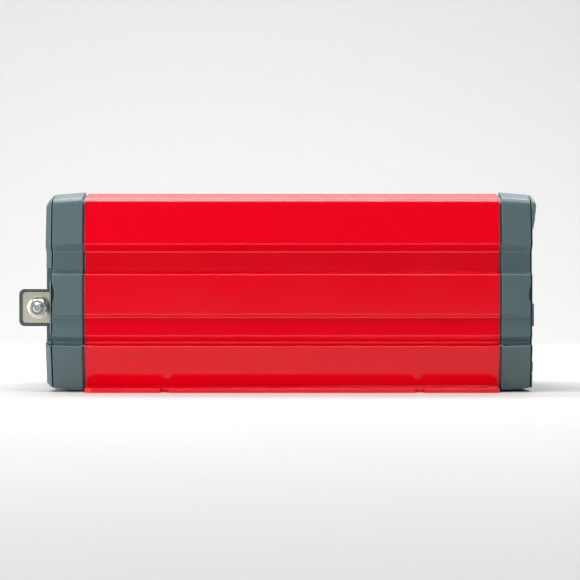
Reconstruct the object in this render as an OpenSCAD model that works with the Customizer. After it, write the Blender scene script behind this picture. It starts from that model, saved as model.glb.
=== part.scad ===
/* [Housing] */
// Length of the extruded housing, without the end caps
body_len = 332.5; // [260:0.5:420]
// Width over the outermost side faces
body_w = 200; // [200:1:240]
// Wall thickness of the extrusion
wall = 2.6; // [2:0.1:3.2]
// Rounding of the extrusion's edges
edge_r = 0.9; // [0.4:0.1:1.2]
// Radius between the side and the top
shoulder_r = 7; // [5:0.5:9]
// Slope of the top's shoulder in degrees
shoulder_tilt = 11; // [6:1:14]

/* [Foot flange] */
// Thickness of the base plate and its flange
base_t = 3.4; // [3:0.1:4.5]
// How far the flange stands out from the foot of the side
flange_w = 18.6; // [16:0.2:22]
// Distance between the screw notches along the housing
notch_pitch = 203.4; // [160:0.2:240]
// Width of a screw notch
notch_w = 7.2; // [5:0.1:8]
// Depth of a screw notch from the flange's edge
notch_depth = 6.4; // [5:0.1:9]
// Radius of the flange's corners
flange_r = 8; // [4:0.5:10]

/* [End caps] */
// Depth of the front (AC) end cap
front_cap_d = 25; // [25:0.5:30]
// Depth of the rear (DC) end cap
rear_cap_d = 26; // [26:0.5:30]
// Share of its size that a cap keeps at its outer end
cap_taper = 0.99; // [0.97:0.001:0.995]
// Share by which a cap stands proud of the housing
cap_proud = 1.012; // [1.005:0.001:1.015]
// How far the end panels stand out of the caps
panel_out = 5.9; // [5:0.1:7]
// Gap between a cap and the panel in it
panel_gap = 0.7; // [0.3:0.1:0.9]

/* [DC terminals] */
// Height of the stud above the ground
stud_z = 67.9; // [66:0.1:72]
// Distance of the stud from the end of the rear cap
stud_out = 11.7; // [11:0.1:14]
// Radius of the M8 stud
stud_r = 4; // [4:0.1:4]
// Height of the busbar plate
busbar_h = 25.2; // [22:0.2:26]
// Thickness of the busbar plate
busbar_t = 3; // [2:0.5:3]
// Wall of the insulating tray round the plate
tray_wall = 2.4; // [2:0.1:3]

/* [Fans] */
// Side of the square fan frame
fan_size = 80; // [80:1:80]
// Blades on each rotor
fan_blades = 9; // [5:1:11]

/* [Hidden] */
$fn = 48;
eps = 0.02;
half_w = body_w / 2;
body_x = body_len / 2;
front_end = body_x + front_cap_d;
rear_end = -body_x - rear_cap_d;
cap_mid_z = 81;
cap_bottom_z = 2.2;
top_z = 160.6;

// Corner points of the side, as [inset from the outermost face, height]
foot_inset = 9.8;
foot_z = 5.6;
ledge_z = 37;
brow_z = 118.9;
side = [[foot_inset, foot_z], [0.2, ledge_z], [6.8, 37.9], [6.8, 40.7], [2.8, 45], [3.7, 60.4],
    [1.6, 62.1], [1.6, 94.4], [6.6, 96.4], [6.6, 112.9], [0, brow_z]];
lean = 9;               // the upper face leans inwards by this many degrees
shoulder_top = 30;      // inset at which the top becomes level
lean_z = 150.4;
lean_inset = (lean_z - brow_z) * tan(lean);
shoulder_c = [lean_inset + shoulder_r * cos(lean), lean_z - shoulder_r * sin(lean)];
top_step = [[34, 0], [36.5, 2.5], [61, 2.5], [63, 1], [half_w, 1]]; // [inset, drop below the top]

grey = [0.27, 0.33, 0.34];
red = [0.78, 0.04, 0.07];
black = [0.05, 0.05, 0.055];
steel = [0.72, 0.72, 0.7];
nickel = [0.62, 0.6, 0.53];
copper = [0.75, 0.42, 0.2];

// ---- outline helpers -------------------------------------------------------------------------
function unit(v) = v / norm(v);
function reverse(list) = [for (i = [len(list) - 1:-1:0]) list[i]];
// Each inner corner of an open path is replaced by a small curve
function soften(path, r, steps = 3) = [
    for (i = [0:len(path) - 1])
        if (i == 0 || i == len(path) - 1) path[i]
        else let (
            reach = min(r, norm(path[i] - path[i - 1]) * 0.45, norm(path[i + 1] - path[i]) * 0.45),
            a = path[i] + reach * unit(path[i - 1] - path[i]),
            b = path[i] + reach * unit(path[i + 1] - path[i])
        ) each [for (k = [0:steps]) let (t = k / steps)
            (1 - t) * (1 - t) * a + 2 * t * (1 - t) * path[i] + t * t * b]
];
// Half outline from the foot to the middle of the top; t moves it inwards
side_normal = [-cos(lean), sin(lean)];
top_normal = [-sin(shoulder_tilt), cos(shoulder_tilt)];
shoulder_shift = (side_normal + top_normal) / (1 + side_normal * top_normal);
function shoulder_arc(t, steps = 8) = let (
    r = max(shoulder_r - t, 0.6),
    c = shoulder_c - (r + t - shoulder_r) * shoulder_shift
) [for (k = [0:steps]) let (a = 180 - lean - k / steps * (90 - lean - shoulder_tilt))
    c + r * [cos(a), sin(a)]];
outer = concat(side, [shoulder_arc(0)[0]]);
function inner_normal(a, b) = let (d = unit(b - a)) [d[1], -d[0]];
function inset_corner(i, t) = let (
    n1 = inner_normal(outer[i - 1], outer[i]), n2 = inner_normal(outer[i], outer[i + 1])
) outer[i] + t * (n1 + n2) / (1 + n1 * n2);
function half_path(t, foot) = concat(
    soften(concat(foot, [for (i = [1:len(side) - 1]) inset_corner(i, t)], [shoulder_arc(t)[0]]), edge_r),
    [for (k = [1:8]) shoulder_arc(t)[k]],
    soften(concat([shoulder_arc(t)[8]], [[shoulder_top, top_z - t]],
        [for (p = top_step) [p[0], top_z - p[1] - t]]), edge_r)
);
function side_inset(z) = side[1][0] + (foot_inset - side[1][0]) * (ledge_z - z) / (ledge_z - foot_z);
foot_slant = inner_normal(outer[0], outer[1])[0];
function right_of(path) = [for (p = path) [half_w - p[0], p[1]]];
function left_of(path) = [for (p = reverse(path)) if (p[0] < half_w - eps) [p[0] - half_w, p[1]]];
function full_path(t, foot) = concat(right_of(half_path(t, foot)), left_of(half_path(t, foot)));
// Closed outline of a cap, moved inwards by t, about its middle height
function cap_outline(t) = [for (p = full_path(t, [[side_inset(cap_bottom_z + t) + t / foot_slant,
    cap_bottom_z + t]])) [p[0], p[1] - cap_mid_z]];

// ---- placing helpers -------------------------------------------------------------------------
module along_x(x0, x1) translate([x0, 0, 0]) rotate([90, 0, 90]) linear_extrude(x1 - x0) children();
module across_y(y0, y1) translate([0, y1, 0]) rotate([90, 0, 0]) linear_extrude(y1 - y0) children();
module box(lo, hi) translate(lo) cube(hi - lo);
module rod_x(x0, x1, y, z, r) translate([x0, y, z]) rotate([0, 90, 0]) cylinder(x1 - x0, r, r);
module rod_y(y0, y1, x, z, r) translate([x, y0, z]) rotate([-90, 0, 0]) cylinder(y1 - y0, r, r);
module both_sides() { children(); mirror([0, 1, 0]) children(); }
module hex_x(x0, x1, y, z, across) translate([x0, y, z]) rotate([0, 90, 0])
    cylinder(x1 - x0, across / sqrt(3), across / sqrt(3), $fn = 6);
module rounded_box(lo, hi, r) hull() for (y = [lo.y + r, hi.y - r], z = [lo.z + r, hi.z - r])
    rod_x(lo.x, hi.x, y, z, r, $fn = 24);

// ---- housing ---------------------------------------------------------------------------------
boss_y = 82;
boss_top_z = 144;
boss_low_z = 18;
boss_r = 4;
pilot_r = 1.7;
lip_z = 8.6;
lip_y = 80;
base_screw_x = [-132, -44, 44, 132];
base_screw_y = 85;
module upper_housing() color(red) difference() {
    union() {
        along_x(-body_x, body_x) polygon(concat(full_path(0, [side[0]]),
            reverse(full_path(wall, [side[0] + [wall / foot_slant, 0]]))));
        both_sides() {
            box([-body_x, lip_y, foot_z], [body_x, half_w - foot_inset - 1.5, lip_z]);
            rod_x(-body_x, body_x, boss_y, boss_top_z, boss_r);
            box([-body_x, boss_y - 1.2, boss_top_z], [body_x, boss_y + 1.2, 157]);
            rod_x(-body_x, body_x, boss_y, boss_low_z, boss_r);
            box([-body_x, boss_y, boss_low_z - 1.2], [body_x, 93, boss_low_z + 1.2]);
        }
    }
    both_sides() {
        rod_x(-body_x - 1, body_x + 1, boss_y, boss_top_z, pilot_r);
        rod_x(-body_x - 1, body_x + 1, boss_y, boss_low_z, pilot_r);
        for (x = base_screw_x) translate([x, base_screw_y, foot_z - 1]) cylinder(5, 1.5, 1.5);
    }
}

flange_y = half_w - side_inset(base_t) + flange_w;
module base_plate() color(red) difference() {
    intersection() {
        along_x(-body_x, body_x) polygon(soften(concat([[0, 0]],
            [for (p = [[flange_y, 0], [flange_y, base_t], [half_w - foot_inset + 1.4, base_t],
                [half_w - foot_inset, foot_z], [lip_y, foot_z], [lip_y - 2, base_t]]) p],
            [for (p = reverse([[flange_y, 0], [flange_y, base_t], [half_w - foot_inset + 1.4, base_t],
                [half_w - foot_inset, foot_z], [lip_y, foot_z], [lip_y - 2, base_t]])) [-p[0], p[1]]],
            [[0, 0]]), 0.6, 3));
        union() {
            box([-body_x, flange_r - flange_y, -1], [body_x, flange_y - flange_r, 10]);
            box([flange_r - body_x, -flange_y, -1], [body_x - flange_r, flange_y, 10]);
            for (sx = [-1, 1], sy = [-1, 1])
                translate([sx * (body_x - flange_r), sy * (flange_y - flange_r), -1])
                    cylinder(11, flange_r, flange_r);
        }
    }
    both_sides() for (sx = [-1, 1]) translate([sx * notch_pitch / 2, 0, 0]) {
        translate([0, flange_y - notch_depth + notch_w / 2, -1]) cylinder(8, notch_w / 2, notch_w / 2);
        box([-notch_w / 2, flange_y - notch_depth + notch_w / 2, -1], [notch_w / 2, flange_y + 1, 7]);
    }
    both_sides() for (x = base_screw_x) translate([x, base_screw_y, 0]) {
        translate([0, 0, -1]) cylinder(8, 1.9, 1.9);
        translate([0, 0, -eps]) cylinder(2, 3.6, 1.9);
    }
    for (x = standoff_x, y = [-standoff_y, standoff_y]) translate([x, y, -1]) cylinder(6, 1.5, 1.5);
}

module base_screws() color(steel) both_sides() for (x = base_screw_x) translate([x, base_screw_y, 0])
    difference() {
        union() {
            translate([0, 0, 0.25]) cylinder(1.7, 3.3, 1.45);
            translate([0, 0, 1.9]) cylinder(6.2, 1.45, 1.45);
        }
        translate([0, 0, 0.2]) cylinder(1.4, 1.2, 1.2, $fn = 6);
    }

// ---- end caps --------------------------------------------------------------------------------
cap_wall = 4.6;
joint_w = 2.1;          // shadow groove where a cap meets the housing
joint_share = 0.986;
// One tapered length of a cap, from one share of the outline's size to the next
module cap_length(x0, x1, share0, share1, t) translate([0, 0, x0])
    linear_extrude(x1 - x0, scale = share1 / share0) scale(share0) polygon(cap_outline(t));
module cap_ring(depth) translate([0, 0, cap_mid_z]) rotate([90, 0, 90]) difference() {
    union() {
        cap_length(0, joint_w + 1, joint_share, joint_share, 0);
        cap_length(joint_w, depth, cap_proud, cap_taper, 0);
    }
    translate([0, 0, -1]) cap_length(0, depth + 2, 1, cap_taper, cap_wall);
}
// A shallow thumb scoop in the outer edge, half-way up each side
scoop_r = 17;
scoop_depth = 1.5;
scoop_z = 78.5;
module cap_scoop(depth) both_sides() rod_y(85, 110, depth + scoop_r - scoop_depth, scoop_z, scoop_r);
// Tabs that reach into the housing, and lugs that the end screws pass through
module cap_fixings(depth) {
    box([-6, -24, 154], [2, 24, 156.7]);
    box([0.1, -24, 154], [4, 24, 158.1]);
    both_sides() {
        box([-6, 93.2, 66], [2, 95.5, 90]);
        box([0.1, 93.2, 66], [4, 96.6, 90]);
        for (z = [boss_top_z, boss_low_z]) difference() {
            union() {
                rod_x(0.1, depth - 6, boss_y, z, 3.6);
                box([0.1, boss_y, z - 1.2], [depth - 6, boss_y + 10.4, z + 1.2]);
            }
            rod_x(-1, depth, boss_y, z, 2.3);
        }
    }
}
module panel_outline(extra = 0) scale(cap_taper) polygon(cap_outline(cap_wall + panel_gap + extra));

// A panel's solid: a plug in the cap, a plate as large as the cap's end, and a bevel all round it
plate_gap = 1.1;
plate_inset = 0.5;
bevel_share = 0.95;
module plate_outline(extra = 0) scale(cap_taper) polygon(cap_outline(plate_inset + extra));
module panel_block(bevel) translate([0, 0, cap_mid_z]) rotate([90, 0, 90]) {
    translate([0, 0, -4]) linear_extrude(4 + plate_gap + 0.2) panel_outline();
    translate([0, 0, plate_gap]) linear_extrude(panel_out - bevel - plate_gap) plate_outline();
    translate([0, 0, panel_out - bevel]) linear_extrude(bevel, scale = bevel_share) plate_outline();
}
// Walls of a panel: the plug's ring, the plate's rim and the web between them
module panel_rim() translate([0, 0, cap_mid_z]) {
    difference() {
        along_x(-4, panel_out) panel_outline();
        along_x(-5, panel_out + 1) panel_outline(2.4);
    }
    difference() {
        along_x(plate_gap, panel_out) plate_outline();
        along_x(plate_gap - 1, panel_out + 1) panel_outline(2.4);
    }
}

module front_bezel() color(grey) translate([body_x, 0, 0]) {
    difference() {
        cap_ring(front_cap_d);
        cap_scoop(front_cap_d);
    }
    cap_fixings(front_cap_d);
}

// Side view of the front panel: a visor that slopes back, a flat face, and a lower louvre field
face_out = 1.5;
louvre_out = 2.2;
visor_low_z = 129.5;
visor_mid_z = 134;
visor_mid_out = 2.7;
visor_top_z = 152.5;
skin = 2.8;
front_bevel = 2.6;
rear_bevel = 4.2;
front_side = [[-5, -2], [louvre_out, -2], [louvre_out, 14.2], [face_out, 14.7], [face_out, 15.3],
    [louvre_out, 15.8], [louvre_out, 24], [face_out, 25], [face_out, visor_low_z],
    [visor_mid_out, visor_mid_z], [panel_out, visor_top_z], [panel_out, 163], [-5, 163]];
louvres = [[5, 13.4], [16.4, 23.2]];
vent_slots_z = [30, 35.5, 41];
outlet_y = [-8, 36];
outlet_z = 84;
outlet_w = 33.3;
outlet_h = 66.9;
control_y = -58;
rocker_z = 61.8;
breaker_z = 78;
mode_z = 96;
usb_y = 74;
usb_z = 103;
remote_z = 66;
display_z = 142;
display_w = 62;
display_h = 15;
led_y = [46, 56, 66];
module fascia_shell() translate([front_end, 0, 0]) {
    intersection() {
        panel_block(front_bevel);
        union() {
            across_y(-half_w, half_w) polygon(concat(
                [for (i = [1:len(front_side) - 2]) front_side[i]],
                reverse([for (i = [1:len(front_side) - 2]) front_side[i] - [skin, 0]])));
            intersection() {
                across_y(-half_w, half_w) polygon(front_side);
                panel_rim();
            }
            both_sides() for (z = [boss_top_z, boss_low_z]) rod_x(-4, face_out, boss_y, z, 5.4);
        }
    }
    for (dy = [-11, 11]) rod_x(-11.4, face_out - 1, control_y + dy, mode_z + 6, 1.8);
    for (y = [-37, 37], dz = [-8, 8]) rod_x(-5, 0.6, y, display_z + dz, 1.6);
}
module front_fascia() color(grey) difference() {
    fascia_shell();
    translate([front_end, 0, 0]) {
        both_sides() for (z = [boss_top_z, boss_low_z]) {
            rod_x(-6, panel_out + 2, boss_y, z, 2.2);
            rod_x(-1.2, panel_out + 2, boss_y, z, 4.1);
        }
        for (y = outlet_y) box([-9, y - outlet_w / 2 - 0.3, outlet_z - outlet_h / 2 - 0.3],
            [9, y + outlet_w / 2 + 0.3, outlet_z + outlet_h / 2 + 0.3]);
        box([-9, control_y - 11.2, rocker_z - 7.9], [9, control_y + 11.2, rocker_z + 7.9]);
        rod_x(-9, 9, control_y, breaker_z, 5.1);
        rod_x(-9, 9, control_y, mode_z, 3.6);
        box([-9, usb_y - 8.2, usb_z - 10.2], [9, usb_y + 8.2, usb_z + 10.2]);
        box([-9, usb_y - 7.7, remote_z - 6.7], [9, usb_y + 7.7, remote_z + 6.7]);
        box([-4.9, -display_w / 2, display_z - display_h / 2],
            [12, display_w / 2, display_z + display_h / 2]);
        for (y = led_y) rod_x(-9, 12, y, display_z, 1.8);
        for (l = louvres, k = [-5:5]) box([-9, k * 12.8 - 5.2, l[0] + 1.2], [9, k * 12.8 + 5.2, l[1] - 1.6]);
        for (z = vent_slots_z, k = [-2:2]) box([-9, k * 26 - 11, z - 1.2], [9, k * 26 + 11, z + 1.2]);
    }
}
// Four long screws with domed heads hold a panel and its cap to the housing
module end_screw(face, reach) difference() {
    union() {
        rod_x(reach, face, 0, 0, 1.65);
        translate([face, 0, 0]) rotate([0, 90, 0]) cylinder(1.9, 3.6, 2.7);
    }
    translate([face + 0.7, 0, 0]) for (a = [0, 90]) rotate([a, 0, 0])
        box([0, -1.9, -0.35], [2, 1.9, 0.35]);
}
module front_screws() color(steel) both_sides() for (z = [boss_top_z, boss_low_z])
    translate([0, boss_y, z]) end_screw(front_end - 1.2, body_x - 8);

module rear_bezel() color(grey) translate([-body_x, 0, 0]) mirror([1, 0, 0]) {
    difference() {
        cap_ring(rear_cap_d);
        cap_scoop(rear_cap_d);
    }
    cap_fixings(rear_cap_d);
}

// Rear panel: a sunk deck with two round fan openings, and a stepped-back bay for each terminal
fan_y = 42;
fan_z = 80;
fan_hole_pitch = 71.5;
deck_out = 1.5;         // how far the sunk deck stands out of the cap
pocket_y = 83.2;
pocket_z = [38.6, 121.4];
pocket_wall = 2;
bay = [39.5, 101];
bay_y = 85.5;
tray_y = [84, 90.6];
tray_z = [stud_z - busbar_h / 2 - tray_wall, stud_z + busbar_h / 2 + tray_wall];
tray_tip = rear_end - stud_out - 15.8;
rear_slots_z = [129, 134.5, 140, 145.5];
low_slots_z = [14, 19.5, 25, 30.5];
module rear_panel() color(grey) difference() {
    translate([rear_end, 0, 0]) mirror([1, 0, 0]) intersection() {
        panel_block(rear_bevel);
        union() {
            box([panel_out - skin, -bay_y, -5], [9, bay_y, 170]);
            box([panel_out - skin, -half_w, -5], [9, half_w, bay[0]]);
            box([panel_out - skin, -half_w, bay[1]], [9, half_w, 170]);
            difference() {
                panel_rim();
                box([-9, -half_w, bay[0]], [9, half_w, bay[1]]);
            }
            box([deck_out - skin, -bay_y, pocket_z[0] - pocket_wall],
                [panel_out, bay_y, pocket_z[1] + pocket_wall]);
            both_sides() {
                box([-4, bay_y - 2.2, bay[0] - 2.2], [panel_out, bay_y, bay[1] + 2.2]);
                for (z = bay) box([-4, bay_y - 2.2, z - 1.2], [panel_out, half_w, z + 1.2]);
                box([-4, bay_y - 1, bay[0]], [-1.6, half_w, bay[1]]);
                box([-4, bay_y - 1, tray_z[0] - 6], [panel_out - 3.4, half_w, tray_z[1] + 6]);
                for (z = [boss_top_z, boss_low_z]) rod_x(-4, panel_out, boss_y, z, 5.4);
            }
        }
    }
    box([rear_end - 9, -pocket_y, pocket_z[0]], [rear_end - deck_out, pocket_y, pocket_z[1]]);
    both_sides() {
        box([rear_end - 9, tray_y[0] - 0.15, tray_z[0] - 0.15],
            [rear_end + 9, tray_y[1] + 0.15, tray_z[1] + 0.15]);
        for (z = [boss_top_z, boss_low_z]) {
            rod_x(rear_end - 9, rear_end + 9, boss_y, z, 2.2);
            rod_x(rear_end - 9, rear_end - 1.2, boss_y, z, 4.1);
        }
        rod_x(rear_end - 9, rear_end + 9, fan_y, fan_z, 38);
        for (dy = [-1, 1], dz = [-1, 1])
            rod_x(rear_end - 9, rear_end + 9, fan_y + dy * fan_hole_pitch / 2,
                fan_z + dz * fan_hole_pitch / 2, 2.2);
        for (z = rear_slots_z, k = [0:2])
            box([rear_end - 9, 4 + k * 24, z - 1.3], [rear_end + 9, 24 + k * 24, z + 1.3]);
        for (z = low_slots_z, k = [0:1])
            box([rear_end - 9, 22 + k * 26, z - 1.3], [rear_end + 9, 44 + k * 26, z + 1.3]);
    }
    rod_x(rear_end - 9, rear_end + 9, 0, ground_z, 3.2);
}
module rear_screws() color(steel) both_sides() for (z = [boss_top_z, boss_low_z])
    translate([0, boss_y, z]) mirror([1, 0, 0]) end_screw(-rear_end + 1.2, body_x - 8);

// ---- DC terminals ----------------------------------------------------------------------------
stud_x = rear_end - stud_out;
plate_y = [87, 87 + busbar_t];
tray_in_x = rear_end + 22;
module terminal_tray() difference() {
    union() {
        rounded_box([tray_tip + 4, tray_y[0], tray_z[0]], [tray_in_x, tray_y[1], tray_z[1]], 0.6);
        for (z = [tray_z[0] + 4.5, tray_z[1] - 4.5]) rod_y(tray_y[0], tray_y[1], tray_tip + 4.5, z, 4.5);
        box([tray_tip, tray_y[0], tray_z[0] + 4.5], [tray_tip + 9, tray_y[1], tray_z[1] - 4.5]);
    }
    box([tray_tip + 5, plate_y[0], tray_z[0] + tray_wall], [tray_in_x + 9, 99, tray_z[1] - tray_wall]);
    for (z = [tray_z[0] + 5, tray_z[1] - 5]) rod_y(plate_y[0], 99, tray_tip + 5, z, 2.5);
    box([tray_tip + tray_wall, plate_y[0], tray_z[0] + 5], [tray_tip + 9, 99, tray_z[1] - 5]);
    rod_y(tray_y[0] - 1, 99, stud_x, stud_z, stud_r + 0.1);
    rod_y(tray_y[0] - 1, tray_y[0] + 1.2, stud_x, stud_z, 6.6);
}
module terminal_tray_negative() color(grey) mirror([0, 1, 0]) terminal_tray();
module terminal_tray_positive() color(grey) terminal_tray();

// Nickel-plated bar: a plate in the tray, then a foot that turns in and bolts to the board
foot_x = [tray_in_x + 6, tray_in_x + 28];
module busbar() difference() {
    union() {
        box([tray_tip + 5, plate_y[0], tray_z[0] + tray_wall + 0.1],
            [foot_x[1], plate_y[1], tray_z[1] - tray_wall - 0.1]);
        for (z = [tray_z[0] + 5, tray_z[1] - 5]) rod_y(plate_y[0], plate_y[1], tray_tip + 5, z, 2.4);
        box([tray_tip + tray_wall + 0.1, plate_y[0], tray_z[0] + 5],
            [tray_tip + 6, plate_y[1], tray_z[1] - 5]);
        box([foot_x[0], plate_y[0], 22], [foot_x[1], plate_y[1], tray_z[0] + 6]);
        box([foot_x[0], 60, 22], [foot_x[1], plate_y[1], 22 + busbar_t]);
        box([foot_x[0], 60, board_z + board_t], [foot_x[1], 60 + busbar_t, 22 + busbar_t]);
        box([foot_x[0], 60, board_z + board_t], [foot_x[1], 74, board_z + board_t + busbar_t]);
    }
    rod_y(plate_y[0] - 1, plate_y[1] + 1, stud_x, stud_z, stud_r + 0.1);
}
module busbar_negative() color(nickel) mirror([0, 1, 0]) busbar();
module busbar_positive() color(nickel) busbar();

nut_h = 8;
stud_tip = plate_y[1] + nut_h + 4;
module terminal_stud() {
    rod_y(tray_y[0] - 2.4, tray_y[0] + 1.2, stud_x, stud_z, 5.4);
    rod_y(tray_y[0] + 1, stud_tip - 1.2, stud_x, stud_z, stud_r);
    translate([stud_x, stud_tip - 1.2, stud_z]) rotate([-90, 0, 0]) cylinder(1.2, stud_r, stud_r - 1.2);
}
module terminal_stud_negative() color(steel) mirror([0, 1, 0]) terminal_stud();
module terminal_stud_positive() color(steel) terminal_stud();
// Flange nut: a domed flange, a chamfered hexagon and a countersunk bore
module flange_nut(across, flange_r, h, bore_r) difference() {
    union() {
        cylinder(1.1, flange_r, flange_r);
        translate([0, 0, 1.1]) cylinder(1.2, flange_r, across / 2);
        intersection() {
            cylinder(h, across / sqrt(3), across / sqrt(3), $fn = 6);
            union() {
                cylinder(h - 1.2, across / sqrt(3) + 1, across / sqrt(3) + 1);
                translate([0, 0, h - 1.2]) cylinder(1.2, across / sqrt(3) + 0.1, across / 2 - 0.3);
            }
        }
    }
    translate([0, 0, -1]) cylinder(h + 2, bore_r, bore_r);
    translate([0, 0, h - 0.8]) cylinder(1, bore_r, bore_r + 1);
}
module terminal_nut() translate([stud_x, plate_y[1], stud_z]) rotate([-90, 0, 0])
    flange_nut(13, 8.9, nut_h, stud_r + 0.05);
module terminal_nut_negative() color(steel) mirror([0, 1, 0]) terminal_nut();
module terminal_nut_positive() color(steel) terminal_nut();

// Earth stud, M6: full thread radius at its free end, pitch radius where the nut's thread meets it
ground_z = 22;
ground_r = 3;
ground_pitch_r = 2.68;
ground_nut_h = 5;
ground_free = 4.8;
ground_face = rear_end - panel_out;
module ground_stud() color(steel) {
    rod_x(ground_face + skin, ground_face + skin + 3, 0, ground_z, 6);
    rod_x(ground_face - ground_nut_h - 1, ground_face + skin + 1, 0, ground_z, ground_pitch_r);
    rod_x(ground_face - ground_nut_h - ground_free, ground_face - ground_nut_h, 0, ground_z, ground_r);
}
module ground_nut() color([0.75, 0.62, 0.3]) translate([ground_face, 0, ground_z])
    rotate([0, -90, 0]) flange_nut(10, 7.1, ground_nut_h, ground_pitch_r + 0.02);

// ---- fans ------------------------------------------------------------------------------------
fan_depth = 25;
fan_x = [rear_end - deck_out + skin, rear_end - deck_out + skin + fan_depth];
fan_bore_r = 37.6;
hub_r = 17;
sleeve_r = 4;
module at_fan(side) translate([0, side * fan_y, 0]) children();
module fan_frame() difference() {
    union() {
        difference() {
            union() for (dx = [0, 21]) rounded_box([fan_x[0] + dx, -fan_size / 2, fan_z - fan_size / 2],
                [fan_x[0] + dx + 4, fan_size / 2, fan_z + fan_size / 2], 4);
            rod_x(fan_x[0] - 1, fan_x[1] + 1, 0, fan_z, fan_bore_r);
        }
        difference() {
            rod_x(fan_x[0] + 1, fan_x[1] - 1, 0, fan_z, fan_bore_r + 1.6);
            rod_x(fan_x[0] - 1, fan_x[1] + 1, 0, fan_z, fan_bore_r);
        }
        rod_x(fan_x[1] - 3, fan_x[1], 0, fan_z, hub_r);
        for (a = [45:90:315]) translate([0, 0, fan_z]) rotate([a, 0, 0])
            box([fan_x[1] - 3, -2, hub_r - 2], [fan_x[1], 2, fan_bore_r + 1]);
        rod_x(fan_x[0] + 8, fan_x[1] - 2, 0, fan_z, sleeve_r);
    }
    rod_x(fan_x[0], fan_x[1] - 1, 0, fan_z, 1.55);
    for (dy = [-1, 1], dz = [-1, 1]) rod_x(fan_x[0] - 1, fan_x[1] + 1, dy * fan_hole_pitch / 2,
        fan_z + dz * fan_hole_pitch / 2, 2.1);
}
module fan_stator() difference() {
    union() {
        rod_x(fan_x[0] + 9, fan_x[1] - 4, 0, fan_z, 7);
        for (k = [0:5]) translate([0, 0, fan_z]) rotate([k * 60, 0, 0])
            box([fan_x[0] + 9, -2.6, 5], [fan_x[1] - 4, 2.6, 13]);
    }
    rod_x(fan_x[0], fan_x[1], 0, fan_z, sleeve_r + 0.05);
}
blade_t = 1.5;
blade_pitch = 42;
module fan_rotor() {
    difference() {
        rod_x(fan_x[0] + 2, fan_x[1] - 4, 0, fan_z, hub_r - 0.6);
        rod_x(fan_x[0] + 4, fan_x[1], 0, fan_z, hub_r - 2.6);
    }
    rod_x(fan_x[0] + 3, fan_x[1] - 2, 0, fan_z, 1.5);
    intersection() {
        difference() {
            rod_x(fan_x[0] + 2.5, fan_x[1] - 4.5, 0, fan_z, fan_bore_r - 1);
            rod_x(fan_x[0], fan_x[1], 0, fan_z, hub_r - 1.2);
        }
        union() for (k = [0:fan_blades - 1]) translate([(fan_x[0] + fan_x[1] - 2) / 2, 0, fan_z])
            rotate([k * 360 / fan_blades, 0, 0]) rotate([0, 0, blade_pitch])
                box([-blade_t / 2, -16, 8], [blade_t / 2, 16, 40]);
    }
}
module fan_frame_left() color(black) at_fan(-1) fan_frame();
module fan_frame_right() color(black) at_fan(1) fan_frame();
module fan_stator_left() color(copper) at_fan(-1) fan_stator();
module fan_stator_right() color(copper) at_fan(1) fan_stator();
module fan_rotor_left() color([0.12, 0.12, 0.13]) at_fan(-1) fan_rotor();
module fan_rotor_right() color([0.12, 0.12, 0.13]) at_fan(1) fan_rotor();

// Wire finger guard: rings on four radial wires that end in screw eyes
guard_r = 1;
guard_x = rear_end - deck_out - guard_r;
module fan_guard() {
    for (r = [9, 16, 23, 30, 37]) translate([guard_x - guard_r, 0, fan_z]) rotate([0, 90, 0])
        rotate_extrude($fn = 64) translate([r, 0]) circle(guard_r, $fn = 16);
    for (a = [45:90:315]) translate([guard_x, 0, fan_z]) rotate([a, 0, 0]) {
        translate([0, 0, 6]) cylinder(fan_hole_pitch / sqrt(2) - 9, guard_r, guard_r, $fn = 16);
    }
    for (dy = [-1, 1], dz = [-1, 1]) difference() {
        rod_x(guard_x - guard_r, guard_x + guard_r,
            dy * fan_hole_pitch / 2, fan_z + dz * fan_hole_pitch / 2, 4);
        rod_x(guard_x - 3, guard_x + 3, dy * fan_hole_pitch / 2, fan_z + dz * fan_hole_pitch / 2, 2.2);
    }
}
module fan_guard_left() color(steel) at_fan(-1) fan_guard();
module fan_guard_right() color(steel) at_fan(1) fan_guard();
module fan_screws() color(steel) for (side = [-1, 1], dy = [-1, 1], dz = [-1, 1])
    translate([0, side * fan_y + dy * fan_hole_pitch / 2, fan_z + dz * fan_hole_pitch / 2])
        mirror([1, 0, 0]) end_screw(-guard_x + guard_r, -guard_x - 9);

// ---- AC outlets ------------------------------------------------------------------------------
outlet_face = face_out + 1.6;
outlet_pitch = 38.1;
slot_spacing = 12.7;
module outlet(y) difference() {
    translate([front_end, y, outlet_z]) {
        rounded_box([outlet_face - 6, -outlet_w / 2, -outlet_h / 2],
            [outlet_face, outlet_w / 2, outlet_h / 2], 2);
        box([-22, -15, -outlet_h / 2 + 2], [outlet_face - 4, 15, outlet_h / 2 - 2]);
        for (z = [-outlet_h / 2 + 6, outlet_h / 2 - 14])
            box([-7, -outlet_w / 2 - 3, z], [face_out - skin, outlet_w / 2 + 3, z + 8]);
    }
    for (s = [-1, 1]) translate([front_end, y, outlet_z + s * outlet_pitch / 2]) {
        box([-16, -slot_spacing / 2 - 0.9, -1.4], [9, -slot_spacing / 2 + 0.9, 6.6]);
        box([-16, slot_spacing / 2 - 0.9, -0.6], [9, slot_spacing / 2 + 0.9, 5.8]);
        rod_x(-16, 9, 0, -9.3, 2.5);
        box([-16, -2.5, -9.3], [9, 2.5, -7.2]);
        difference() {
            rod_x(outlet_face - 0.7, 9, 0, -1.4, 15.4);
            rod_x(outlet_face - 2, 10, 0, -1.4, 14.6);
            box([-9, -20, 11.9], [19, 20, 20]);
            box([-9, -20, -20], [19, 20, -14.7]);
        }
    }
}
module outlet_near() color(black) outlet(outlet_y[0]);
module outlet_far() color(black) outlet(outlet_y[1]);
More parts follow.
